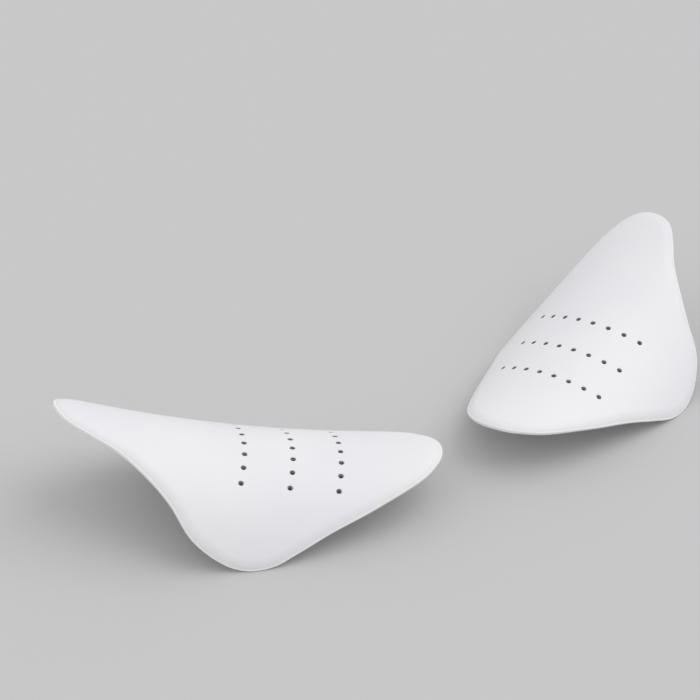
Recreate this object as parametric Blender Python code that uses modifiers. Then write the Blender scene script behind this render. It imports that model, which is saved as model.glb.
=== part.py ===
"""A pair of shoe crease protectors, left and right, standing side by side.

Each protector is a thin vault that fills the toe box of a shoe: a semi-rigid
moulded shell with punched vent holes, bonded over a soft foam lining whose
edge stands proud of the shell all round. Units are metres, +Z is up, and the
pair stands on z = 0 on the lower edges of its wings.
"""

import math

import bmesh
import bpy
import numpy as np
from mathutils import Matrix, Vector

# Vault of one protector, measured on the shell's outer face. The protector's
# own frame has the ridge over x = 0, the toe towards -Y, the tongue towards +Y
# and its origin on the ridge, at the middle row of vents.
TOE_REACH = 0.0505
TONGUE_REACH = 0.0780
WING_HALF_WIDTH = 0.0373
RIDGE_RADIUS = 0.0362
ARCH_SPAN_SHARE = 1.244
ARCH_TAPER_SHARE = 0.065
INNER_FULLNESS_SHARE = 0.052
RIDGE_SLOPE_SHARE = 0.134
TOE_LIFT = 0.0029
TONGUE_LIFT = 0.0080

# Walls. The lining lies under the shell with a bond line between them, and
# its edge stands out past the shell's edge. Where the wings meet the floor,
# the lining's edge is flat, this deep into it.
SHELL_THICKNESS = 0.0008
LINING_THICKNESS = 0.0010
BOND_LINE = 0.0003
LIP_WIDTH = 0.0008
SHELL_EDGE_ROUND = 0.0003
LINING_EDGE_ROUND = 0.0003
FOOT_DEPTH = 0.0004

# Vent holes: three rows across the ridge, each bowed back at its ends.
VENT_DIAMETER = 0.0017
VENT_PITCH = 0.0060
VENT_PITCH_GAIN = 0.0003
VENT_ROW_PITCH = 0.0160
VENT_ROW_BOW = 0.0298
VENT_START = 0.0168
VENT_ROWS = 3
VENTS_PER_ROW = 8
PUNCH_REACH = 0.0060

# The two protectors of the pair: how far the left one's toe stands from the
# right one's toe, and how far each toe is turned from straight ahead (-Y).
TOE_GAP_X = 0.0216
TOE_GAP_Y = 0.0138
LEFT_TURN_DEG = -33.0
RIGHT_TURN_DEG = 95.0

# Outline of the trimmed edge, anticlockwise from above on a left protector,
# as shares: across of WING_HALF_WIDTH (+ is the outer side of the foot), along
# of TOE_REACH where negative and of TONGUE_REACH where positive. Each side
# starts at the corner where the one before it ends.
TOE_SHARES = [(-0.43, -0.915), (-0.24, -0.988), (-0.03, -0.998), (0.15, -0.945)]
OUTER_SHARES = [(0.34, -0.816), (0.58, -0.517), (0.76, -0.218), (0.885, 0.0), (0.965, 0.115),
                (0.990, 0.235), (0.955, 0.345), (0.855, 0.451), (0.66, 0.528), (0.46, 0.622),
                (0.262, 0.733), (0.118, 0.846)]
TONGUE_SHARES = [(-0.015, 0.935), (-0.18, 0.982), (-0.36, 1.000), (-0.52, 0.987)]
INNER_SHARES = [(-0.633, 0.943), (-0.729, 0.870), (-0.800, 0.769), (-0.850, 0.667), (-0.894, 0.570),
                (-0.946, 0.461), (-1.001, 0.348), (-1.032, 0.240), (-1.011, 0.115), (-0.945, 0.0),
                (-0.856, -0.218), (-0.733, -0.517), (-0.590, -0.780)]
OUTLINE_SHARES = TOE_SHARES + OUTER_SHARES + TONGUE_SHARES + INNER_SHARES

# Facets of the model
CELLS_ACROSS = 18
CELLS_ALONG = 24
VENT_SIDES = 10
CURVE_STEPS = 24
SHELL_ROUND_STEPS = 2
LINING_ROUND_STEPS = 1
EDGE_ANGLE_DEG = 60
SMOOTH_ANGLE_DEG = 30


def arch_at(along):
    """Half span and drop of the elliptical section at each place along the ridge."""
    half_span = ARCH_SPAN_SHARE * WING_HALF_WIDTH - ARCH_TAPER_SHARE * along
    drop = half_span ** 2 / RIDGE_RADIUS
    return half_span, drop


def ridge_rise(along):
    """Rise of the ridge: a straight slope up to the tongue, bent up a little at both ends."""
    toe_share = np.minimum(along, 0) / TOE_REACH
    tongue_share = np.maximum(along, 0) / TONGUE_REACH
    bend = TOE_LIFT * toe_share ** 2 + TONGUE_LIFT * tongue_share ** 2
    return RIDGE_SLOPE_SHARE * along + bend


def vault(angle, along, depth=0.0):
    """Points of the vault: half an ellipse across, at an angle from the ridge.

    x = a sin(angle), z = ridge rise - b (1 - cos(angle) - fullness), and the
    point then moves by depth along the inward normal. The fullness rounds out
    the inner side of the foot, with the cube of the angle.
    """
    half_span, drop = arch_at(along)
    across = half_span * np.sin(angle)
    fullness = INNER_FULLNESS_SHARE * np.maximum(-angle, 0) ** 3
    height = ridge_rise(along) - drop * (1 - np.cos(angle) - fullness)
    surface = np.stack([across, along + 0 * angle, height], axis=-1)
    if depth == 0:
        return surface
    return surface - depth * vault_normal(angle, along)


def vault_slopes(angle, along):
    """Change of a vault point with the angle and with the place along the ridge."""
    step_share = 0.0001
    step = step_share * TONGUE_REACH
    by_angle = (vault(angle + step_share, along) - vault(angle - step_share, along)) / (2 * step_share)
    by_along = (vault(angle, along + step) - vault(angle, along - step)) / (2 * step)
    return by_angle, by_along


def vault_normal(angle, along):
    """Outward unit normal of the vault."""
    by_angle, by_along = vault_slopes(angle, along)
    normal = np.cross(by_angle, by_along)
    return normal / np.linalg.norm(normal, axis=-1, keepdims=True)


def smooth_loop(knots):
    """Closed Catmull-Rom curve through the knots, CURVE_STEPS points to a span."""
    before = np.roll(knots, 1, axis=0)[:, None]
    start = knots[:, None]
    end = np.roll(knots, -1, axis=0)[:, None]
    after = np.roll(knots, -2, axis=0)[:, None]
    t = (np.arange(CURVE_STEPS) / CURVE_STEPS)[None, :, None]
    curve = (2 * start + (end - before) * t
             + (2 * before - 5 * start + 4 * end - after) * t ** 2
             + (3 * start - before - 3 * end + after) * t ** 3) / 2
    return curve.reshape(-1, 2)


def outline_knots(shares):
    """Outline shares as (angle from the ridge, place along it)."""
    shares = np.array(shares)
    reach = np.where(shares[:, 1] < 0, TOE_REACH, TONGUE_REACH)
    along = shares[:, 1] * reach
    half_span, _ = arch_at(along)
    angle = np.arcsin(shares[:, 0] * WING_HALF_WIDTH / half_span)
    return np.stack([angle, along], axis=1)


def inset_outline(loop, inset):
    """The loop moved inwards on the vault by inset, square to itself."""
    angle, along = loop.T
    by_angle, by_along = vault_slopes(angle, along)
    edge = vault(angle, along)
    tangent = np.roll(edge, -1, axis=0) - np.roll(edge, 1, axis=0)
    tangent /= np.linalg.norm(tangent, axis=1, keepdims=True)
    inward = np.cross(vault_normal(angle, along), tangent)
    slopes = np.stack([by_angle, by_along], axis=-1)
    shift = np.linalg.pinv(slopes) @ (inset * inward)[..., None]
    return loop + shift[..., 0]


def even_points(curve, cells):
    """Points at even steps of real length along a curve on the vault."""
    places = vault(curve[:, 0], curve[:, 1])
    lengths = np.linalg.norm(np.diff(places, axis=0), axis=1)
    run = np.concatenate([[0], np.cumsum(lengths)])
    stops = np.linspace(0, run[-1], cells + 1)
    return np.stack([np.interp(stops, run, curve[:, 0]), np.interp(stops, run, curve[:, 1])], axis=1)


def trimmed_grid(inset):
    """Grid of (angle, along) that fills the outline, as a patch between its four sides."""
    loop = inset_outline(smooth_loop(outline_knots(OUTLINE_SHARES)), inset)
    closed = np.vstack([loop, loop[:1]])
    sides = [TOE_SHARES, OUTER_SHARES, TONGUE_SHARES, INNER_SHARES]
    corners = np.cumsum([0] + [len(side) for side in sides]) * CURVE_STEPS
    cells = [CELLS_ACROSS, CELLS_ALONG, CELLS_ACROSS, CELLS_ALONG]
    toe, outer, tongue, inner = [
        even_points(closed[first:last + 1], count)
        for first, last, count in zip(corners[:-1], corners[1:], cells)
    ]
    tongue = tongue[::-1]
    inner = inner[::-1]
    u = np.linspace(0, 1, CELLS_ACROSS + 1)[:, None, None]
    v = np.linspace(0, 1, CELLS_ALONG + 1)[None, :, None]
    between_ends = (1 - v) * toe[:, None] + v * tongue[:, None]
    between_sides = (1 - u) * inner[None] + u * outer[None]
    corner_blend = ((1 - u) * (1 - v) * toe[0] + u * (1 - v) * toe[-1]
                    + (1 - u) * v * tongue[0] + u * v * tongue[-1])
    return between_ends + between_sides - corner_blend


def stance_height():
    """Height of the vault's origin over the floor, with the wings' edges FOOT_DEPTH into it."""
    angle, along = smooth_loop(outline_knots(OUTLINE_SHARES)).T
    under_side = vault(angle, along, SHELL_THICKNESS + BOND_LINE + LINING_THICKNESS)
    return -under_side[:, 2].min() - FOOT_DEPTH


def plastic(name, colour, roughness):
    """Plain material with the part's own colour and gloss."""
    material = bpy.data.materials.new(name)
    material.use_nodes = True
    shader = material.node_tree.nodes["Principled BSDF"]
    shader.inputs["Base Color"].default_value = (*colour, 1)
    shader.inputs["Roughness"].default_value = roughness
    shader.inputs["Metallic"].default_value = 0
    return material


def mesh_object(name, mesh, collection, parent):
    """Put a mesh in a collection as an object under its protector's empty."""
    part = bpy.data.objects.new(name, mesh)
    collection.objects.link(part)
    part.parent = parent
    return part


def vault_skin(name, hand, depth, inset):
    """Open skin of the trimmed vault: a plain grid bent to the vault's shape."""
    grid = trimmed_grid(inset)
    places = vault(grid[..., 0], grid[..., 1], depth)
    bm = bmesh.new()
    bmesh.ops.create_grid(bm, x_segments=CELLS_ACROSS, y_segments=CELLS_ALONG, size=1)
    for vertex in bm.verts:
        i = round((vertex.co.x + 1) / 2 * CELLS_ACROSS)
        j = round((vertex.co.y + 1) / 2 * CELLS_ALONG)
        vertex.co = places[i, j]
    if hand < 0:
        bmesh.ops.scale(bm, vec=(-1, 1, 1), verts=bm.verts)
        bmesh.ops.reverse_faces(bm, faces=bm.faces)
    mesh = bpy.data.meshes.new(name)
    bm.to_mesh(mesh)
    bm.free()
    return mesh


def thicken(part, thickness, edge_round, round_steps):
    """Give the open skin its wall, inwards from the skin, with rounded edges."""
    wall = part.modifiers.new("wall", "SOLIDIFY")
    wall.thickness = thickness
    wall.offset = -1
    wall.use_even_offset = True
    rounding = part.modifiers.new("edge round", "BEVEL")
    rounding.width = edge_round
    rounding.segments = round_steps
    rounding.limit_method = "ANGLE"
    rounding.angle_limit = math.radians(EDGE_ANGLE_DEG)


def cut(part, cutter):
    """Cut one piece with a cutter."""
    cutting = part.modifiers.new(cutter.name, "BOOLEAN")
    cutting.operation = "DIFFERENCE"
    cutting.solver = "EXACT"
    cutting.object = cutter


def vent_places():
    """Angle and place along the ridge of each vent hole."""
    rows = np.arange(VENT_ROWS) - (VENT_ROWS - 1) / 2
    row, number = np.meshgrid(rows, np.arange(VENTS_PER_ROW), indexing="ij")
    pitch = VENT_PITCH + VENT_PITCH_GAIN * row
    half_span, _ = arch_at(0)
    angle = (VENT_START - number * pitch) / half_span
    along = row * VENT_ROW_PITCH + VENT_ROW_BOW * (1 - np.cos(angle))
    return angle.ravel(), along.ravel()


def vent_punches(name, hand, collection, parent):
    """One punch for each vent hole, square to the vault."""
    angle, along = vent_places()
    centres = vault(angle, along)
    normals = vault_normal(angle, along)
    bm = bmesh.new()
    for centre, normal in zip(centres, normals):
        turn = Vector((0, 0, 1)).rotation_difference(Vector(normal)).to_matrix().to_4x4()
        bmesh.ops.create_cone(
            bm,
            cap_ends=True,
            segments=VENT_SIDES,
            radius1=VENT_DIAMETER / 2,
            radius2=VENT_DIAMETER / 2,
            depth=2 * PUNCH_REACH,
            matrix=Matrix.Translation(centre) @ turn,
        )
    if hand < 0:
        bmesh.ops.scale(bm, vec=(-1, 1, 1), verts=bm.verts)
        bmesh.ops.reverse_faces(bm, faces=bm.faces)
    mesh = bpy.data.meshes.new(name)
    bm.to_mesh(mesh)
    bm.free()
    return as_cutter(mesh_object(name, mesh, collection, parent))


def as_cutter(cutter):
    """Mark an object as a cutter: never rendered, shown as wire."""
    cutter.hide_render = True
    cutter.display_type = "WIRE"
    return cutter


def floor_block(collection):
    """Block under z = 0 that cuts the wings' lower edges flat."""
    side = 4 * (TOE_REACH + TONGUE_REACH + TOE_GAP_X + TOE_GAP_Y)
    bpy.ops.mesh.primitive_cube_add(size=side, location=(0, 0, -side / 2))
    block = bpy.context.object
    block.name = "floor_block"
    for holder in block.users_collection:
        holder.objects.unlink(block)
    collection.objects.link(block)
    return as_cutter(block)


def protector(side, hand, turn_deg, toe_place, materials, collections, floor):
    """One protector: shell and lining under an empty that stands it in the pair."""
    parts, cutters = collections
    holder = bpy.data.objects.new(f"{side}_protector", None)
    parts.objects.link(holder)
    turn = Matrix.Rotation(math.radians(turn_deg), 4, "Z")
    toe = turn @ Vector((0, -TOE_REACH, 0))
    holder.rotation_euler = turn.to_euler()
    holder.location = (toe_place[0] - toe.x, toe_place[1] - toe.y, stance_height())
    punches = vent_punches(f"{side}_vent_punches", hand, cutters, holder)

    shell_name = f"{side}_shell"
    shell = mesh_object(shell_name, vault_skin(shell_name, hand, 0, LIP_WIDTH), parts, holder)
    thicken(shell, SHELL_THICKNESS, SHELL_EDGE_ROUND, SHELL_ROUND_STEPS)
    cut(shell, punches)
    shell.data.materials.append(materials["shell"])

    lining_name = f"{side}_lining"
    depth = SHELL_THICKNESS + BOND_LINE
    lining = mesh_object(lining_name, vault_skin(lining_name, hand, depth, 0), parts, holder)
    thicken(lining, LINING_THICKNESS, LINING_EDGE_ROUND, LINING_ROUND_STEPS)
    cut(lining, punches)
    cut(lining, floor)
    lining.data.materials.append(materials["lining"])

    for piece in (shell, lining):
        piece.data.shade_smooth()
        piece.data.set_sharp_from_angle(angle=math.radians(SMOOTH_ANGLE_DEG))
    return holder


def centre_on_origin(holders):
    """Move the protectors together so that the pair stands centred on the origin."""
    bpy.context.view_layer.update()
    corners = [
        piece.matrix_world @ Vector(corner)
        for holder in holders
        for piece in holder.children
        if not piece.hide_render
        for corner in evaluated_points(piece)
    ]
    corners = np.array(corners)
    middle = (corners.min(axis=0) + corners.max(axis=0)) / 2
    for holder in holders:
        holder.location.x -= middle[0]
        holder.location.y -= middle[1]
    bpy.context.view_layer.update()


def evaluated_points(piece):
    """Points of a piece's mesh with its modifiers, in its own frame."""
    evaluated = piece.evaluated_get(bpy.context.evaluated_depsgraph_get())
    return [vertex.co.copy() for vertex in evaluated.data.vertices]


def build():
    """Clear the scene and build the pair."""
    for old in list(bpy.data.objects):
        bpy.data.objects.remove(old, do_unlink=True)
    parts = bpy.data.collections.new("shoe crease protectors")
    cutters = bpy.data.collections.new("cutters")
    bpy.context.scene.collection.children.link(parts)
    bpy.context.scene.collection.children.link(cutters)
    materials = {
        "shell": plastic("white moulded shell", (0.78, 0.79, 0.82), 0.42),
        "lining": plastic("white foam lining", (0.80, 0.80, 0.80), 0.85),
    }
    floor = floor_block(cutters)
    collections = (parts, cutters)
    left_toe = (TOE_GAP_X, TOE_GAP_Y)
    right_toe = (0, 0)
    left = protector("left", 1, LEFT_TURN_DEG, left_toe, materials, collections, floor)
    right = protector("right", -1, RIGHT_TURN_DEG, right_toe, materials, collections, floor)
    centre_on_origin([left, right])


build()
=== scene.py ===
# %% [markdown]
# # A pair of shoe crease protectors
# A shoe crease protector is worn over the toes and holds up what would fold there. Each of the two is a
# thin vault: a moulded white shell with small punched vents, bonded to a soft foam lining whose edge
# peeps out all round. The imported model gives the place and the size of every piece, and this lesson
# dresses it: four fine surfaces worked out with numpy, two procedural materials, light and a camera.

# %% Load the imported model
import math

import bpy
import numpy as np
from mathutils import Matrix, Vector


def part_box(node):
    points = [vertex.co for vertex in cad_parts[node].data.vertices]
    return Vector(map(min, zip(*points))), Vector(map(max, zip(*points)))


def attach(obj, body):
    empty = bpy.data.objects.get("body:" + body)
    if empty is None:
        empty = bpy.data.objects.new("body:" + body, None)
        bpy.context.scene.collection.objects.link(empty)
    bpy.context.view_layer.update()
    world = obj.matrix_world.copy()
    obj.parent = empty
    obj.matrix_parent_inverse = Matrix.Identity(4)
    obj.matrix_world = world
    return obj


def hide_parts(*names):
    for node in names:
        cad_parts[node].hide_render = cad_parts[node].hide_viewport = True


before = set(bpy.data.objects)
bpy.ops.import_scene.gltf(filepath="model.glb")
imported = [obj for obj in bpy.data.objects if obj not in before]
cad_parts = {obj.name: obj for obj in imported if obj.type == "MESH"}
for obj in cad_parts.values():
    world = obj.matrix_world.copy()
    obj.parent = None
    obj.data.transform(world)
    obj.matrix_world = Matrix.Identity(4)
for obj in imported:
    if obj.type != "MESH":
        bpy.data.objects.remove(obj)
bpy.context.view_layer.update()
print("pieces in the frame:", sorted(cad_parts))

# %% [markdown]
# ## Sizes
# Every surface here is worked out from one vault, so its sizes come first. The toe points to -Y, the
# tongue to +Y and the ridge lies over x = 0. The values are those of the solid model, because the fine
# pieces must fill exactly the room that the solids hold.

# %% Sizes of the vault and its walls
TOE_REACH = 0.0505
TONGUE_REACH = 0.0780
WING_HALF_WIDTH = 0.0373
RIDGE_RADIUS = 0.0362
ARCH_SPAN_SHARE = 1.244
ARCH_TAPER_SHARE = 0.065
INNER_FULLNESS_SHARE = 0.052
RIDGE_SLOPE_SHARE = 0.134
TOE_LIFT = 0.0029
TONGUE_LIFT = 0.0080
SHELL_THICKNESS = 0.0008
LINING_THICKNESS = 0.0010
BOND_LINE = 0.0003
LIP_WIDTH = 0.0008
FOOT_DEPTH = 0.0004
LEFT_TURN_DEG = -33.0
RIGHT_TURN_DEG = 95.0
print("one protector is", round(1000 * (TOE_REACH + TONGUE_REACH), 1), "mm long along its ridge")

# %% [markdown]
# ## The vault
# Seen along the ridge, a protector is an arch. Half an ellipse suits it: steep at the wings, on which it
# stands, and round on top, where it carries the load. A sculpted mesh could show the same form, but a
# formula keeps shell and lining parallel and both hands alike. Two parameters reach every point: the
# angle from the ridge and the place along the ridge. A third, the depth, goes in through the wall, so
# that shell, bond line and lining are layers of the same surface.

# %% Vault surface
def arch_at(along):
    """Half span and drop of the arch: the span shrinks evenly from toe to tongue, and the drop is the
    half span squared over the ridge's radius, which keeps the top equally round all along."""
    half_span = ARCH_SPAN_SHARE * WING_HALF_WIDTH - ARCH_TAPER_SHARE * along
    return half_span, half_span ** 2 / RIDGE_RADIUS


def ridge_rise(along):
    """Rise of the ridge: slope times along, plus a parabola at each end that bends the tips up."""
    toe_share = np.minimum(along, 0) / TOE_REACH
    tongue_share = np.maximum(along, 0) / TONGUE_REACH
    bend = TOE_LIFT * toe_share ** 2 + TONGUE_LIFT * tongue_share ** 2
    return RIDGE_SLOPE_SHARE * along + bend


def outer_face(angle, along):
    """Point of the outer face: x = half span * sin(angle), y = along, and z = rise - drop * (1 -
    cos(angle) - fullness). The fullness, a share of the angle cubed, rounds out the inner side only."""
    half_span, drop = arch_at(along)
    across = half_span * np.sin(angle)
    fullness = INNER_FULLNESS_SHARE * np.maximum(-angle, 0) ** 3
    height = ridge_rise(along) - drop * (1 - np.cos(angle) - fullness)
    return np.stack([across, along + 0 * angle, height], axis=-1)


print("half span of the arch at the middle row of vents:", round(1000 * float(arch_at(0.0)[0]), 1), "mm")

# %% Slopes, normal and depth
def slopes(angle, along):
    """Change of an outer point with each parameter: difference over a small step both ways."""
    step_share = 0.0001
    step = step_share * TONGUE_REACH
    by_angle = outer_face(angle + step_share, along) - outer_face(angle - step_share, along)
    by_along = outer_face(angle, along + step) - outer_face(angle, along - step)
    return by_angle / (2 * step_share), by_along / (2 * step)


def outward(angle, along):
    """Unit normal: the cross product of the two slopes over its length."""
    normal = np.cross(*slopes(angle, along))
    return normal / np.linalg.norm(normal, axis=-1, keepdims=True)


def vault(angle, along, depth):
    """Point at a depth in the wall: the outer point minus depth times the normal."""
    return outer_face(angle, along) - np.asarray(depth)[..., None] * outward(angle, along)


WALL = SHELL_THICKNESS + BOND_LINE + LINING_THICKNESS
print("wall of shell, bond line and lining:", round(1000 * WALL, 1), "mm")

# %% [markdown]
# ## The outline
# The sheet is cut from the vault along a flowing line: a round toe, two wings that come down to the
# ground, a waist, and a long tongue that leans to the inner side of the foot. Hundreds of points could
# trace it, but a few given knots give the line its character and are easy to move, and a closed
# Catmull-Rom curve runs through them without a kink.

# %% Knots of the outline
# Each knot is (share of the half width, share of the reach), anticlockwise from above on a left one.
TOE_SHARES = [(-0.43, -0.915), (-0.24, -0.988), (-0.03, -0.998), (0.15, -0.945)]
OUTER_SHARES = [(0.34, -0.816), (0.58, -0.517), (0.76, -0.218), (0.885, 0.0), (0.965, 0.115),
                (0.990, 0.235), (0.955, 0.345), (0.855, 0.451), (0.66, 0.528), (0.46, 0.622),
                (0.262, 0.733), (0.118, 0.846)]
TONGUE_SHARES = [(-0.015, 0.935), (-0.18, 0.982), (-0.36, 1.000), (-0.52, 0.987)]
INNER_SHARES = [(-0.633, 0.943), (-0.729, 0.870), (-0.800, 0.769), (-0.850, 0.667), (-0.894, 0.570),
                (-0.946, 0.461), (-1.001, 0.348), (-1.032, 0.240), (-1.011, 0.115), (-0.945, 0.0),
                (-0.856, -0.218), (-0.733, -0.517), (-0.590, -0.780)]
SIDES = [TOE_SHARES, OUTER_SHARES, TONGUE_SHARES, INNER_SHARES]


def knots_on_vault(shares):
    """Knots as (angle, along): along = share * reach, and angle = arcsin(across / half span)."""
    shares = np.array(shares)
    along = shares[:, 1] * np.where(shares[:, 1] < 0, TOE_REACH, TONGUE_REACH)
    across = shares[:, 0] * WING_HALF_WIDTH
    return np.stack([np.arcsin(across / arch_at(along)[0]), along], axis=1)


KNOTS = knots_on_vault(sum(SIDES, []))
print("outline:", len(KNOTS), "knots, the steepest at", round(math.degrees(abs(KNOTS[:, 0]).max())), "deg")

# %% Smooth curve and even nodes
CURVE_STEPS = 40
CELLS_ACROSS = 124
CELLS_ALONG = 190


def smooth_loop(knots):
    """Closed Catmull-Rom curve: between two knots it is the cubic whose slope at each knot is half the
    step from the knot before to the knot after."""
    before = np.roll(knots, 1, axis=0)[:, None]
    start = knots[:, None]
    end = np.roll(knots, -1, axis=0)[:, None]
    after = np.roll(knots, -2, axis=0)[:, None]
    t = (np.arange(CURVE_STEPS) / CURVE_STEPS)[None, :, None]
    curve = (2 * start + (end - before) * t
             + (2 * before - 5 * start + 4 * end - after) * t ** 2
             + (3 * start - before - 3 * end + after) * t ** 3) / 2
    return curve.reshape(-1, 2)


def even_nodes(curve, cells):
    """Nodes at equal steps of real length: the running length is read backwards by interpolation."""
    lengths = np.linalg.norm(np.diff(outer_face(curve[:, 0], curve[:, 1]), axis=0), axis=1)
    run = np.concatenate([[0], np.cumsum(lengths)])
    stops = np.linspace(0, run[-1], cells + 1)
    return np.stack([np.interp(stops, run, curve[:, 0]), np.interp(stops, run, curve[:, 1])], axis=1)


def outline_nodes():
    """Ring of nodes round the outline, side by side, each corner once."""
    loop = smooth_loop(KNOTS)
    closed = np.vstack([loop, loop[:1]])
    corners = np.cumsum([0] + [len(side) for side in SIDES]) * CURVE_STEPS
    cells = [CELLS_ACROSS, CELLS_ALONG, CELLS_ACROSS, CELLS_ALONG]
    runs = [even_nodes(closed[a:b + 1], n)[:-1] for a, b, n in zip(corners[:-1], corners[1:], cells)]
    return np.vstack(runs)


OUTLINE = outline_nodes()
edge_run = np.linalg.norm(np.diff(outer_face(*OUTLINE.T), axis=0), axis=1).sum()
print("outline:", len(OUTLINE), "nodes,", round(1000 * float(edge_run)), "mm round")

# %% Way inwards from the outline
def inward_shift(ring):
    """Change of (angle, along) for one metre inwards, square to the ring: the least-squares answer of
    slopes * change = inward direction."""
    angle, along = ring.T
    edge = outer_face(angle, along)
    tangent = np.roll(edge, -1, axis=0) - np.roll(edge, 1, axis=0)
    tangent /= np.linalg.norm(tangent, axis=1, keepdims=True)
    inward = np.cross(outward(angle, along), tangent)
    matrix = np.stack(slopes(angle, along), axis=-1)
    return (np.linalg.pinv(matrix) @ inward[..., None])[..., 0]


INWARD = inward_shift(OUTLINE)
print("one millimetre inwards turns the angle by up to",
      round(math.degrees(abs(INWARD[:, 0]).max()) / 1000, 2), "deg")

# %% [markdown]
# ## The wings stand on the floor
# The foam at the foot of each wing is pressed flat where it stands. The floor is a plane, so a ring of
# the lining that would dip under it is slid up the wing until it just touches. That gives the same flat
# foot as a cut, with clean quads right down to it.

# %% Height of the vault over the floor
FLOOR_STEPS = 4
PROBE_SHARE = 0.125
LEAST_CLIMB = 0.3


def stance_height():
    """Floor to the vault's origin: minus the lowest point of the lining's inner edge, less the depth
    that the foot is pressed in."""
    return -vault(*OUTLINE.T, WALL)[:, 2].min() - FOOT_DEPTH


STANCE = stance_height()


def ring_inside(inset, depth):
    """Outline ring moved inwards by the inset. Nodes under the floor then go further in by height over
    slope, Newton's step, a few times. The slope is taken over a small probe and kept above the least
    climb, so that no step runs away where the sheet is almost level."""
    inset = np.full(len(OUTLINE), float(inset))
    probe = PROBE_SHARE * FOOT_DEPTH
    for _ in range(FLOOR_STEPS):
        ring = OUTLINE + inset[:, None] * INWARD
        height = vault(*ring.T, depth)[:, 2] + STANCE
        raised = vault(*(ring + probe * INWARD).T, depth)[:, 2] + STANCE
        climb = np.maximum((raised - height) / probe, LEAST_CLIMB)
        inset = inset + np.maximum(-height / climb, 0)
    return OUTLINE + inset[:, None] * INWARD


print("the vault's origin stands", round(1000 * float(STANCE), 2), "mm over the floor")

# %% [markdown]
# ## The vents
# Three rows of small round holes let air through. They cross the ridge, each row bowed back at its ends.
# Each hole could be placed by hand, but a short formula gives all their centres and keeps the rows even.

# %% Places of the vents
VENT_DIAMETER = 0.0017
VENT_PITCH = 0.0060
VENT_PITCH_GAIN = 0.0003
VENT_ROW_PITCH = 0.0160
VENT_ROW_BOW = 0.0298
VENT_START = 0.0168
VENT_ROWS = 3
VENTS_PER_ROW = 8


def vent_places():
    """Centre of each vent: angle = (start - number * pitch) / half span, and along = row * row pitch
    + bow * (1 - cos(angle))."""
    rows = np.arange(VENT_ROWS) - (VENT_ROWS - 1) / 2
    row, number = np.meshgrid(rows, np.arange(VENTS_PER_ROW), indexing="ij")
    angle = (VENT_START - number * (VENT_PITCH + VENT_PITCH_GAIN * row)) / arch_at(0)[0]
    along = row * VENT_ROW_PITCH + VENT_ROW_BOW * (1 - np.cos(angle))
    return np.stack([angle.ravel(), along.ravel()], axis=1)


VENTS = vent_places()
print("vents:", len(VENTS), "on each protector")

# %% [markdown]
# ## Faces of a layer
# Shell and lining are the same kind of body: an outer face, a rounded rim, an inner face, and the vents
# through both. Each face is a Coons patch, the surface that blends four edge curves, because its grid
# follows the outline all round. All the points come as whole arrays of (angle, along, depth), and all
# the faces as whole arrays of indices.

# %% Patch between four sides
def coons_patch(ring):
    """Grid between the ring's four sides: the blend of toe and tongue, plus the blend of inner and outer
    side, minus the blend of the four corners."""
    m, n = CELLS_ACROSS, CELLS_ALONG
    closed = np.vstack([ring, ring[:1]])
    toe = closed[:m + 1]
    outer = closed[m:m + n + 1]
    tongue = closed[m + n:2 * m + n + 1][::-1]
    inner = closed[2 * m + n:][::-1]
    u = np.linspace(0, 1, m + 1)[:, None, None]
    v = np.linspace(0, 1, n + 1)[None, :, None]
    corners = ((1 - u) * (1 - v) * toe[0] + u * (1 - v) * toe[-1]
               + (1 - u) * v * tongue[0] + u * v * tongue[-1])
    between_ends = (1 - v) * toe[:, None] + v * tongue[:, None]
    between_sides = (1 - u) * inner[None] + u * outer[None]
    return between_ends + between_sides - corners


def edge_numbers(numbers):
    """Numbers of the nodes round a grid, anticlockwise from its first corner, each once."""
    return np.concatenate([numbers[:-1, 0], numbers[-1, :-1], numbers[:0:-1, -1], numbers[0, :0:-1]])


def band(rings, facing):
    """Quads between neighbouring rings of node numbers. Facing +1 is for rings that shrink towards a
    hole, and -1 for rings that grow towards a rim."""
    here, onward = rings[..., :-1, :], rings[..., 1:, :]
    quads = np.stack([here, np.roll(here, -1, axis=-1), np.roll(onward, -1, axis=-1), onward], axis=-1)
    return quads.reshape(-1, 4)[:, ::facing]


print("grid of each face:", CELLS_ACROSS, "by", CELLS_ALONG, "cells")

# %% [markdown]
# ## Profiles through the wall
# A rim or a vent is a profile carried round a line. A Bevel modifier could round the edges too, but at
# a wall this thin its facets show, and it can't make the long, slow thinning of the shell's edge.

# %% Rounds, feather and wall
def quarter(width, drop, steps):
    """Quarter of an ellipse as (way left to go, depth): width * (1 - sin) and drop * (1 - cos)."""
    turn = np.linspace(0, math.pi / 2, steps + 1)
    return width * (1 - np.sin(turn)), drop * (1 - np.cos(turn))


def feather(width, drop, power, steps):
    """Edge that thins out ever faster, as (way left to go, depth): width * (1 - s) and drop * s ** power,
    with s from 0 to 1."""
    s = np.linspace(0, 1, steps + 1)
    return width * (1 - s), drop * s ** power


def wall_profile(thickness, top_edge, under_edge, return_steps=0):
    """Profile through a wall: over the top edge, then straight down, then round the lower edge, which is
    the under edge turned over. Return steps lead on along the under side, evenly, to below the place
    where the top edge began. Each point is (way back from the wall, depth)."""
    top_back, top_depth = top_edge
    low_back, low_depth = under_edge
    way_in = np.linspace(low_back[0], top_back[0], return_steps + 1)[1:]
    back = np.concatenate([top_back, low_back[::-1], way_in])
    depth = np.concatenate([top_depth, (thickness - low_depth)[::-1], np.full(return_steps, thickness)])
    return back, depth


square_edge = quarter(0, 0, 1)
print("depths of a square edge through the foam (mm):",
      np.round(1000 * wall_profile(LINING_THICKNESS, square_edge, square_edge)[1], 2))

# %% [markdown]
# ## Vents in a grid
# A grid has no round holes. A Boolean could cut them, but it leaves long thin faces that shade badly, so
# a small square of cells is left out round each centre, and rings of nodes lead from that square to the
# circle, over a rounded mouth and down through the wall.

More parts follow.
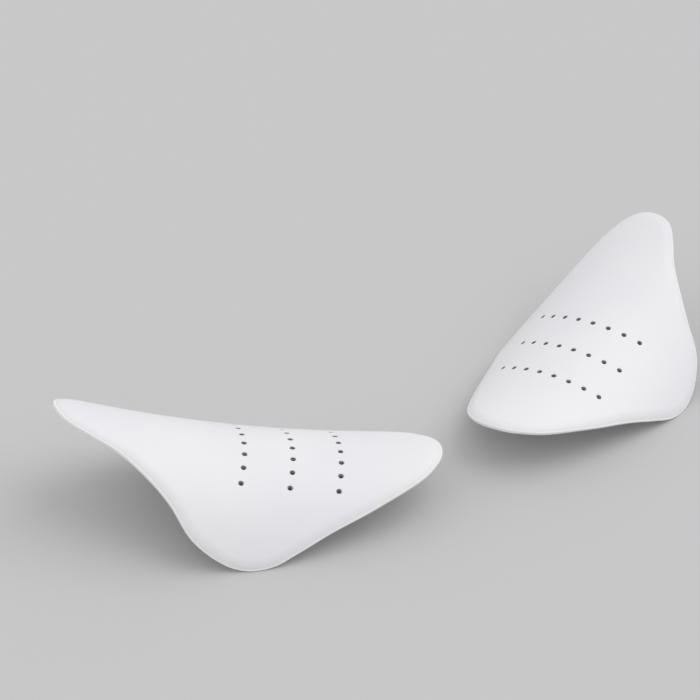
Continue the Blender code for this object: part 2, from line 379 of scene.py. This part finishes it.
# %% Squares round the vents
BLOCK_HALF = 4


def square_ring():
    """Steps in grid cells from a block's centre to the nodes round its edge, anticlockwise."""
    side = np.arange(2 * BLOCK_HALF)
    low = np.full(2 * BLOCK_HALF, -BLOCK_HALF)
    across = np.concatenate([low + side, -low, -low - side, low])
    along = np.concatenate([low, low + side, -low, -low - side])
    return across, along


def vent_blocks(grid):
    """Grid node nearest to each vent, as two arrays of indices, and which cells are kept: all but the
    square block round each of those nodes."""
    gap = (grid[None] - VENTS[:, None, None]) * np.array([arch_at(0)[0], 1.0])
    nearest = (gap ** 2).sum(-1).reshape(len(VENTS), -1).argmin(axis=1)
    centre_across, centre_along = np.unravel_index(nearest, grid.shape[:2])
    kept = np.ones((CELLS_ACROSS, CELLS_ALONG), bool)
    block = np.arange(-BLOCK_HALF, BLOCK_HALF)
    block_across = (centre_across[:, None] + block)[:, :, None]
    block_along = (centre_along[:, None] + block)[:, None, :]
    kept[block_across, block_along] = False
    return centre_across, centre_along, kept


print("nodes round each vent:", len(square_ring()[0]))

# %% Rings round the vents
FUNNEL_STEPS = 3


def vent_axes():
    """Slopes at each vent, side by side, and the two unit directions in the surface there: east, the way
    the angle grows, and north, square to it."""
    by_angle, by_along = slopes(*VENTS.T)
    east = by_angle / np.linalg.norm(by_angle, axis=1, keepdims=True)
    north = np.cross(outward(*VENTS.T), east)
    return np.stack([by_angle, by_along], axis=-1), east, north


def vent_squares(grid, depth, centre_across, centre_along):
    """Numbers of the nodes round each vent's block, and the bearings of its circle's nodes. The circle
    starts at the mean of bearing - even step, so that circle and square face each other without a
    twist."""
    step_across, step_along = square_ring()
    i = centre_across[:, None] + step_across
    j = centre_along[:, None] + step_along
    offset = vault(*np.moveaxis(grid[i, j], -1, 0), depth) - vault(*VENTS.T, depth)[:, None]
    _, east, north = vent_axes()
    bearing = np.arctan2((offset * north[:, None]).sum(-1), (offset * east[:, None]).sum(-1))
    even = 2 * np.pi * np.arange(len(step_across)) / len(step_across)
    start = np.angle(np.exp(1j * (bearing - even)).mean(axis=1))
    return i * (CELLS_ALONG + 1) + j, start[:, None] + even


def circle_on_vault(bearing, radius):
    """(angle, along) of points round each vent: the vent's own pair plus the change that the radius
    gives, solved from the slopes there. The bearing is counted from the east direction."""
    matrix, east, north = vent_axes()
    inverse = np.linalg.pinv(matrix)
    across = np.einsum("vij,vj->vi", inverse, east)
    along = np.einsum("vij,vj->vi", inverse, north)
    turn = bearing[..., None]
    return VENTS[:, None] + radius * (np.cos(turn) * across[:, None] + np.sin(turn) * along[:, None])


def vent_walls(top_square, under_square, circles, wall_depths, thickness):
    """Pairs and depths of the rings in each vent: even steps from the top square to the mouth, the
    circles through the wall, and even steps out to the under square."""
    shares = np.arange(1, FUNNEL_STEPS) / FUNNEL_STEPS
    above = [top_square + share * (circles[0] - top_square) for share in shares]
    below = [under_square + share * (circles[-1] - under_square) for share in shares[::-1]]
    depths = np.concatenate([np.zeros(len(above)), wall_depths, np.full(len(below), thickness)])
    return np.stack(above + circles + below, axis=1), depths


print("least way from a vent to the next:", round(1000 * (VENT_PITCH - VENT_PITCH_GAIN), 1), "mm")

# %% [markdown]
# ## One closed layer
# The parts come together: two faces, the rim between them, and the vents. The nodes are numbered in that
# order, top face, under face, rim, vents, and those that no quad uses drop out at the end. Light that
# bounces about in so small a white hole would leave it pale, so each node in a vent carries a mark of
# how deep it lies, and the materials paint shade into the vents by it, darker the deeper the wall lies.

# %% Whole layer
# Depth in the wall at which the painted shade in a vent is full.
SHADE_DEPTH = 0.00035


def layer(depth, thickness, inset, rim, vent, vent_diameter):
    """Points, quads and each node's mark of painted vent shade, for one layer of the protector, in the
    protector's own frame.

    depth and thickness place the layer in the wall, and inset keeps its edge back from the outline. rim
    and vent are the profiles through its wall there. A vent's mark sets how much painted shade its wall
    gets: it goes from 0 at its mouth to 1 once it is SHADE_DEPTH down in the wall.
    """
    rings = [ring_inside(inset + back, depth + down) for back, down in zip(*rim)]
    top, under = coons_patch(rings[0]), coons_patch(rings[-1])
    size = top[..., 0].size
    numbers = np.arange(size).reshape(top.shape[:2])
    centre_across, centre_along, kept = vent_blocks(top)
    cells = np.stack([numbers[:-1, :-1], numbers[1:, :-1], numbers[1:, 1:], numbers[:-1, 1:]], axis=-1)
    cells = cells[kept]

    edge = edge_numbers(numbers)
    rim_numbers = 2 * size + np.arange(len(rings[1:-1]) * len(edge)).reshape(-1, len(edge))
    rim_rings = np.vstack([edge, rim_numbers, size + edge])

    square, bearing = vent_squares(top, depth, centre_across, centre_along)
    circles = [circle_on_vault(bearing, vent_diameter / 2 + back) for back in vent[0]]
    vent_pairs, vent_depths = vent_walls(top.reshape(-1, 2)[square], under.reshape(-1, 2)[square],
                                         circles, vent[1], thickness)
    first = 2 * size + rim_numbers.size
    inner_rings = first + np.arange(vent_pairs[..., 0].size).reshape(vent_pairs.shape[:-1])
    vent_all = np.concatenate([square[:, None], inner_rings, size + square[:, None]], axis=1)

    pairs = np.concatenate([top.reshape(-1, 2), under.reshape(-1, 2), np.vstack(rings[1:-1]),
                            vent_pairs.reshape(-1, 2)])
    depths = np.concatenate([np.zeros(size), np.full(size, thickness), np.repeat(rim[1][1:-1], len(edge)),
                             np.broadcast_to(vent_depths[None, :, None], vent_pairs.shape[:-1]).ravel()])
    shade_marks = np.zeros(len(pairs))
    wall_rings = inner_rings[:, FUNNEL_STEPS - 1:][:, :len(circles)]
    # Vent walls get their mark of painted shade by depth.
    shade_marks[wall_rings] = np.clip((depth + vent[1]) / SHADE_DEPTH, 0, 1)[None, :, None]
    quads = np.concatenate([cells, size + cells[:, ::-1], band(rim_rings, -1), band(vent_all, 1)])
    used, quads = np.unique(quads, return_inverse=True)
    points = vault(*pairs[used].T, depth + depths[used])
    return points, quads.reshape(-1, 4), shade_marks[used]


print("vents are fully shaded", round(1000 * SHADE_DEPTH, 2), "mm down")

# %% [markdown]
# ## Edges of the shell
# Towards its edge the shell thins out, slowly at first and then faster, so that no line shows where the
# thinning starts, and the step down to the foam stays low. Its vents have a soft round mouth.

# %% Work out the shell
SHELL_FEATHER_WIDTH = 0.0034
SHELL_FEATHER_DROP = 0.00073
SHELL_FEATHER_POWER = 1.85
SHELL_FEATHER_STEPS = 12
SHELL_LOWER_ROUND = 0.00003
SHELL_LOWER_STEPS = 2
SHELL_RETURN_STEPS = 5
SHELL_MOUTH_WIDTH = 0.00040
SHELL_MOUTH_DROP = 0.00030
SHELL_MOUTH_STEPS = 5
SHELL_BACK_ROUND = 0.00010
SHELL_BACK_STEPS = 3

shell_edge = feather(SHELL_FEATHER_WIDTH, SHELL_FEATHER_DROP, SHELL_FEATHER_POWER, SHELL_FEATHER_STEPS)
shell_lower = quarter(SHELL_LOWER_ROUND, SHELL_LOWER_ROUND, SHELL_LOWER_STEPS)
shell_mouth = quarter(SHELL_MOUTH_WIDTH, SHELL_MOUTH_DROP, SHELL_MOUTH_STEPS)
shell_back = quarter(SHELL_BACK_ROUND, SHELL_BACK_ROUND, SHELL_BACK_STEPS)
shell_rim = wall_profile(SHELL_THICKNESS, shell_edge, shell_lower, SHELL_RETURN_STEPS)
shell_vent = wall_profile(SHELL_THICKNESS, shell_mouth, shell_back)
shell_layer = layer(0.0, SHELL_THICKNESS, LIP_WIDTH, shell_rim, shell_vent, VENT_DIAMETER)
print("shell:", len(shell_layer[1]), "quads")

# %% [markdown]
# ## Edges of the lining
# The foam under the shell takes in the film of glue, so that the two layers meet. Its lip stands out past
# the shell by its own small width and is round on both sides. Its vents are narrower than those of the
# shell, as foam closes a little round a punch.

# %% Work out the lining
FOAM_EDGE_WIDTH = 0.00045
FOAM_EDGE_DROP = 0.00040
FOAM_LOWER_ROUND = 0.00035
FOAM_EDGE_STEPS = 6
FOAM_VENT_DIAMETER = 0.0010
FOAM_MOUTH_ROUND = 0.00010
FOAM_BACK_ROUND = 0.00020
FOAM_VENT_STEPS = 3
GLUE_FILM = 0.00001

foam_depth = SHELL_THICKNESS + GLUE_FILM
foam_thickness = LINING_THICKNESS + BOND_LINE - GLUE_FILM
foam_edge = quarter(FOAM_EDGE_WIDTH, FOAM_EDGE_DROP, FOAM_EDGE_STEPS)
foam_lower = quarter(FOAM_LOWER_ROUND, FOAM_LOWER_ROUND, FOAM_EDGE_STEPS)
foam_mouth = quarter(FOAM_MOUTH_ROUND, FOAM_MOUTH_ROUND, FOAM_VENT_STEPS)
foam_back = quarter(FOAM_BACK_ROUND, FOAM_BACK_ROUND, FOAM_VENT_STEPS)
foam_rim = wall_profile(foam_thickness, foam_edge, foam_lower)
foam_vent = wall_profile(foam_thickness, foam_mouth, foam_back)
lining_layer = layer(foam_depth, foam_thickness, 0.0, foam_rim, foam_vent, FOAM_VENT_DIAMETER)
print("lining:", len(lining_layer[1]), "quads")

# %% [markdown]
# ## Finish of the shell
# The shell is moulded from white plastic: satin, a trace of blue, a very fine grain from the mould, and
# thin enough to let a little light through. An image could carry such a finish, but it would need an
# unwrapped map, whose seams show at the rim and in the vents. Noise in space has no seams, so every
# pattern here is built from it, and each even value is set on the shader itself.

# %% Satin plastic with a little light in it
SHELL_SPECULAR = 0.45
SHELL_LIGHT_SHARE = 0.12
SHELL_LIGHT_REACH = 0.0012


def new_material(name, specular):
    """New material with a given specular level, and its Principled shader."""
    material = bpy.data.materials.new(name)
    material.use_nodes = True
    shader = material.node_tree.nodes["Principled BSDF"]
    shader.inputs["Specular IOR Level"].default_value = specular
    return material, shader


def let_light_in(shader, share, reach):
    """Let a share of the light enter and leave again within the reach, alike for all colours."""
    shader.inputs["Subsurface Weight"].default_value = share
    shader.inputs["Subsurface Radius"].default_value = (1.0, 1.0, 1.0)
    shader.inputs["Subsurface Scale"].default_value = reach


PLASTIC, plastic_shader = new_material("satin white plastic", SHELL_SPECULAR)
let_light_in(plastic_shader, SHELL_LIGHT_SHARE, SHELL_LIGHT_REACH)
print("material of the shells:", PLASTIC.name)

# %% White that drifts
DRIFT_SIZE = 0.045
DRIFT_DETAIL = 1.0
DRIFT_REACH = (0.35, 0.65)
COOL_WHITE = (0.81, 0.81, 0.85)
NEUTRAL_WHITE = (0.84, 0.84, 0.86)


def noise(material, size, detail):
    """Noise in space whose blobs are about one size across: its scale is one over that size."""
    nodes, links = material.node_tree.nodes, material.node_tree.links
    place = nodes.new("ShaderNodeTexCoord")
    texture = nodes.new("ShaderNodeTexNoise")
    texture.inputs["Scale"].default_value = 1 / size
    texture.inputs["Detail"].default_value = detail
    links.new(place.outputs["Object"], texture.inputs["Vector"])
    return texture.outputs["Fac"]


def ramp(material, value, low_colour, high_colour, reach):
    """Colour that runs from the low to the high one as the value goes through its reach, (from, to)."""
    nodes, links = material.node_tree.nodes, material.node_tree.links
    colours = nodes.new("ShaderNodeValToRGB")
    for element, position, colour in zip(colours.color_ramp.elements, reach, (low_colour, high_colour)):
        element.position = position
        element.color = (*colour, 1)
    links.new(value, colours.inputs["Fac"])
    return colours.outputs["Color"]


drift = noise(PLASTIC, DRIFT_SIZE, DRIFT_DETAIL)
plastic_white = ramp(PLASTIC, drift, COOL_WHITE, NEUTRAL_WHITE, DRIFT_REACH)
print("cool and neutral white drift over about", round(1000 * DRIFT_SIZE), "mm")

# %% Painted shade in the vents
# Grey painted deep in each vent of the shell: painted shade, not a colour of the plastic.
SHELL_VENT_PAINTED_SHADE = (0.24, 0.24, 0.25)


def paint_shade_in_vents(material, shader, colour, vent_shade_colour):
    """Painted shade: the base colour mixed towards the vent's shade colour by the mark that the vent walls
    carry.
    """
    nodes, links = material.node_tree.nodes, material.node_tree.links
    mark = nodes.new("ShaderNodeAttribute")
    mark.attribute_name = "vent_painted_shade"
    mix = nodes.new("ShaderNodeMix")
    mix.data_type = "RGBA"
    links.new(mark.outputs["Fac"], mix.inputs["Factor"])
    links.new(colour, mix.inputs["A"])
    mix.inputs["B"].default_value = (*vent_shade_colour, 1)
    links.new(mix.outputs["Result"], shader.inputs["Base Color"])


# The shell's vents are darkened with painted shade by depth.
paint_shade_in_vents(PLASTIC, plastic_shader, plastic_white, SHELL_VENT_PAINTED_SHADE)
print("colour deep in a vent of the shell:", SHELL_VENT_PAINTED_SHADE)

# %% Grain of the mould
GRAIN_SIZE = 0.0011
GRAIN_DETAIL = 3.0
GRAIN_DEPTH = 0.000012
GRAIN_REACH = (0.35, 0.65)
SHELL_HOLLOW_ROUGHNESS = 0.48
SHELL_HEIGHT_ROUGHNESS = 0.36


def duller_in_hollows(material, shader, value, reach, hollow, height):
    """Roughness that goes from the hollow one to the height's as the value goes through its reach."""
    nodes, links = material.node_tree.nodes, material.node_tree.links
    spread = nodes.new("ShaderNodeMapRange")
    for socket, number in zip(("From Min", "From Max", "To Min", "To Max"), (*reach, hollow, height)):
        spread.inputs[socket].default_value = number
    links.new(value, spread.inputs["Value"])
    links.new(spread.outputs["Result"], shader.inputs["Roughness"])


def bump(material, shader, value, depth):
    """Bump of a given real depth, on the shader's normal."""
    nodes, links = material.node_tree.nodes, material.node_tree.links
    bumps = nodes.new("ShaderNodeBump")
    bumps.inputs["Strength"].default_value = 1.0
    bumps.inputs["Distance"].default_value = depth
    links.new(value, bumps.inputs["Height"])
    links.new(bumps.outputs["Normal"], shader.inputs["Normal"])


grain = noise(PLASTIC, GRAIN_SIZE, GRAIN_DETAIL)
duller_in_hollows(PLASTIC, plastic_shader, grain, GRAIN_REACH, SHELL_HOLLOW_ROUGHNESS,
                  SHELL_HEIGHT_ROUGHNESS)
bump(PLASTIC, plastic_shader, grain, GRAIN_DEPTH)
print("grain of the mould:", round(1000 * GRAIN_DEPTH, 3), "mm deep")

# %% [markdown]
# ## Finish of the lining
# The foam is matt and slightly warmer than the plastic, with small open cells that show at its lip and on
# the whole under side. Real cells could be modelled, but millions of faces would show no more than this:
# one noise gives the cells their bump and their dullness and darkens their colour in the hollows, so that
# the hollows are the darker and the duller places. The darker colour is painted shade, as shade falls in
# the open cells of real foam.

# %% White foam
FOAM_SPECULAR = 0.25
FOAM_LIGHT_SHARE = 0.10
FOAM_LIGHT_REACH = 0.0015
CELL_SIZE = 0.0004
CELL_DETAIL = 4.0
CELL_DEPTH = 0.00006
CELL_REACH = (0.3, 0.6)
# Colour of the cell hollows: painted shade, darker than the foam's own white.
PAINTED_HOLLOW_SHADE = (0.78, 0.78, 0.775)
FOAM_WHITE = (0.88, 0.88, 0.875)
# Grey painted deep in each vent of the foam: painted shade, not a colour of the foam.
FOAM_VENT_PAINTED_SHADE = (0.22, 0.22, 0.22)
FOAM_HOLLOW_ROUGHNESS = 0.94
FOAM_HEIGHT_ROUGHNESS = 0.82

FOAM, foam_shader = new_material("white foam", FOAM_SPECULAR)
let_light_in(foam_shader, FOAM_LIGHT_SHARE, FOAM_LIGHT_REACH)
foam_cells = noise(FOAM, CELL_SIZE, CELL_DETAIL)
foam_white_and_hollow_shade = ramp(FOAM, foam_cells, PAINTED_HOLLOW_SHADE, FOAM_WHITE, CELL_REACH)
# The foam's vents are darkened with painted shade by depth as well.
paint_shade_in_vents(FOAM, foam_shader, foam_white_and_hollow_shade, FOAM_VENT_PAINTED_SHADE)
duller_in_hollows(FOAM, foam_shader, foam_cells, CELL_REACH, FOAM_HOLLOW_ROUGHNESS,
                  FOAM_HEIGHT_ROUGHNESS)
bump(FOAM, foam_shader, foam_cells, CELL_DEPTH)
print("material of the linings:", FOAM.name)

# %% [markdown]
# ## Both protectors
# The layers above are a left protector's, and the right one is their mirror image, as in the mould. Each
# mesh is turned and moved in the numbers themselves, so its object can stay at the origin, where
# patterns in space hold still. Each piece rides on its protector and stands in for its solid, and the
# printed offsets tell how well the boxes agree.

# %% From arrays to a piece in its place
SHARP_ANGLE_DEG = 45


def mesh_piece(name, points, quads, shade_marks, material):
    """Object at the origin from arrays of points, quads and each node's mark of painted vent shade. It is
    shaded smooth up to the sharp angle."""
    mesh = bpy.data.meshes.new(name)
    mesh.from_pydata(points.tolist(), [], quads.tolist())
    # Each node's mark of painted vent shade goes on the mesh, where the materials read it.
    vent_mark = mesh.attributes.new("vent_painted_shade", "FLOAT", "POINT")
    vent_mark.data.foreach_set("value", shade_marks.astype(np.float32))
    mesh.shade_smooth()
    mesh.set_sharp_from_angle(angle=math.radians(SHARP_ANGLE_DEG))
    mesh.materials.append(material)
    piece = bpy.data.objects.new(name, mesh)
    bpy.context.scene.collection.objects.link(piece)
    return piece


def stand(points, hand, turn_deg, place):
    """Points mirrored for the right hand, turned about Z and moved to their place."""
    turn = np.array(Matrix.Rotation(math.radians(turn_deg), 3, "Z"))
    return (points * np.array([hand, 1, 1])) @ turn.T + place


def place_of(node, points, hand, turn_deg):
    """Where the vault's origin goes: the middle of the solid's box less the middle of the turned points,
    and the stance height."""
    low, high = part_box(node)
    turned = stand(points, hand, turn_deg, np.zeros(3))
    middle = (np.array(low) + np.array(high)) / 2 - (turned.min(axis=0) + turned.max(axis=0)) / 2
    return np.array([middle[0], middle[1], STANCE])


left_place = place_of("left_lining", lining_layer[0], 1, LEFT_TURN_DEG)
right_place = place_of("right_lining", lining_layer[0], -1, RIGHT_TURN_DEG)
print("origins of the two vaults (mm):", np.round(1000 * left_place, 2), np.round(1000 * right_place, 2))

# %% Stand the pieces in their places
def dress(node, body, made, hand, turn_deg, place, material):
    """Fine piece in the place of a solid: it rides on the body, and its box is set against the solid's.
    The right hand is -1, which reads each quad backwards, so that its faces still point outwards."""
    points, quads, shade_marks = made
    piece = mesh_piece(f"{node}_surface", stand(points, hand, turn_deg, place), quads[:, ::hand],
                       shade_marks, material)
    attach(piece, body)
    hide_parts(node)
    corners = np.array(piece.bound_box)
    low_off = corners.min(axis=0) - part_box(node)[0]
    high_off = corners.max(axis=0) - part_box(node)[1]
    print(node, "is off its solid's box by (mm)", np.round(1000 * low_off, 2),
          np.round(1000 * high_off, 2))
    return piece


def protector(side, hand, turn_deg, place):
    """Shell and lining of one side."""
    body = f"{side}_protector"
    shell = dress(f"{side}_shell", body, shell_layer, hand, turn_deg, place, PLASTIC)
    lining = dress(f"{side}_lining", body, lining_layer, hand, turn_deg, place, FOAM)


protector("left", 1, LEFT_TURN_DEG, left_place)
protector("right", -1, RIGHT_TURN_DEG, right_place)

# %% [markdown]
# ## Floor
# A white product needs a background that is darker than itself, so the floor is a plain pale grey. It is
# far larger than the view, and it takes the soft shadows that tell where the wings stand.

# %% Floor
FLOOR_HALF = 6.0
FLOOR_GREY = (0.565, 0.565, 0.565)
FLOOR_ROUGHNESS = 0.9
FLOOR_SPECULAR = 0.1


def floor_piece():
    """Large plain floor that isn't part of the object."""
    mesh = bpy.data.meshes.new("floor")
    corners = [(-FLOOR_HALF, -FLOOR_HALF, 0), (FLOOR_HALF, -FLOOR_HALF, 0), (FLOOR_HALF, FLOOR_HALF, 0),
               (-FLOOR_HALF, FLOOR_HALF, 0)]
    mesh.from_pydata(corners, [], [(0, 1, 2, 3)])
    material, shader = new_material("pale grey floor", FLOOR_SPECULAR)
    shader.inputs["Base Color"].default_value = (*FLOOR_GREY, 1)
    shader.inputs["Roughness"].default_value = FLOOR_ROUGHNESS
    mesh.materials.append(material)
    floor = bpy.data.objects.new("floor", mesh)
    bpy.context.scene.collection.objects.link(floor)


floor_piece()
print("floor:", 2 * FLOOR_HALF, "m square")

# %% [markdown]
# ## Light
# Most of the light is an even sky, as in a white tent. A broad sun from the upper right adds to it, so
# that the far side of each vault falls off gently into grey. Behind the floor the camera sees the lit
# floor's own grey, which hides the horizon.

# %% Soft light
SKY_LEVEL = 0.84
KEY_LEVEL = 0.235
KEY_DIRECTION = (0.60, 0.16, 0.78)
KEY_WIDTH_DEG = 60.0


def broad_sun(name, level, direction, width_deg):
    """Sun from a direction, as wide as a big softbox. A level of 1 would show a white that faces it as
    white, which takes a strength of pi."""
    lamp = bpy.data.lights.new(name, "SUN")
    lamp.energy = math.pi * level
    lamp.angle = math.radians(width_deg)
    holder = bpy.data.objects.new(name, lamp)
    bpy.context.scene.collection.objects.link(holder)
    holder.rotation_euler = Vector(direction).to_track_quat("Z", "Y").to_euler()


def surroundings(level, seen_grey):
    """World that lights with one even level. Straight rays, reflections and what is seen through
    something clear show the floor's grey in its place."""
    world = bpy.data.worlds.new("studio")
    world.use_nodes = True
    bpy.context.scene.world = world
    nodes, links = world.node_tree.nodes, world.node_tree.links
    lit = nodes["Background"]
    lit.inputs["Color"].default_value = (1, 1, 1, 1)
    lit.inputs["Strength"].default_value = level
    seen = nodes.new("ShaderNodeBackground")
    seen.inputs["Color"].default_value = (*seen_grey, 1)
    path = nodes.new("ShaderNodeLightPath")
    seen_share = path.outputs["Is Camera Ray"]
    for ray in ("Is Glossy Ray", "Is Transmission Ray"):
        either = nodes.new("ShaderNodeMath")
        either.operation = "MAXIMUM"
        links.new(seen_share, either.inputs[0])
        links.new(path.outputs[ray], either.inputs[1])
        seen_share = either.outputs["Value"]
    mix = nodes.new("ShaderNodeMixShader")
    links.new(seen_share, mix.inputs["Fac"])
    links.new(lit.outputs["Background"], mix.inputs[1])
    links.new(seen.outputs["Background"], mix.inputs[2])
    links.new(mix.outputs["Shader"], nodes["World Output"].inputs["Surface"])


key_share = KEY_DIRECTION[2] / math.hypot(*KEY_DIRECTION)
level_light = SKY_LEVEL + KEY_LEVEL * key_share
lit_grey = tuple(level_light * part for part in FLOOR_GREY)
surroundings(SKY_LEVEL, lit_grey)
broad_sun("key", KEY_LEVEL, KEY_DIRECTION, KEY_WIDTH_DEG)
print("light on a level surface:", round(level_light, 2))

# %% [markdown]
# ## Camera
# A long lens from well back keeps the two protectors alike in size, as a product photographer would. It
# looks straight along +Y and down at the pair, so only one angle has to be set.

# %% Camera
CAMERA_PLACE = (-0.01352, -0.65769, 0.45719)
CAMERA_TILT_DEG = 56.98
CAMERA_LENS = 115.7
SENSOR_WIDTH = 36.0


def add_camera():
    """Camera that looks along +Y and down on the pair, from the photograph's height and distance."""
    lens = bpy.data.cameras.new("camera")
    lens.lens = CAMERA_LENS
    lens.sensor_width = SENSOR_WIDTH
    camera = bpy.data.objects.new("camera", lens)
    camera.location = CAMERA_PLACE
    camera.rotation_euler = (math.radians(CAMERA_TILT_DEG), 0, 0)
    bpy.context.scene.collection.objects.link(camera)
    bpy.context.scene.camera = camera


add_camera()
bpy.context.scene.view_settings.view_transform = "Standard"
print("the camera looks down by", round(90 - CAMERA_TILT_DEG, 1), "degrees")
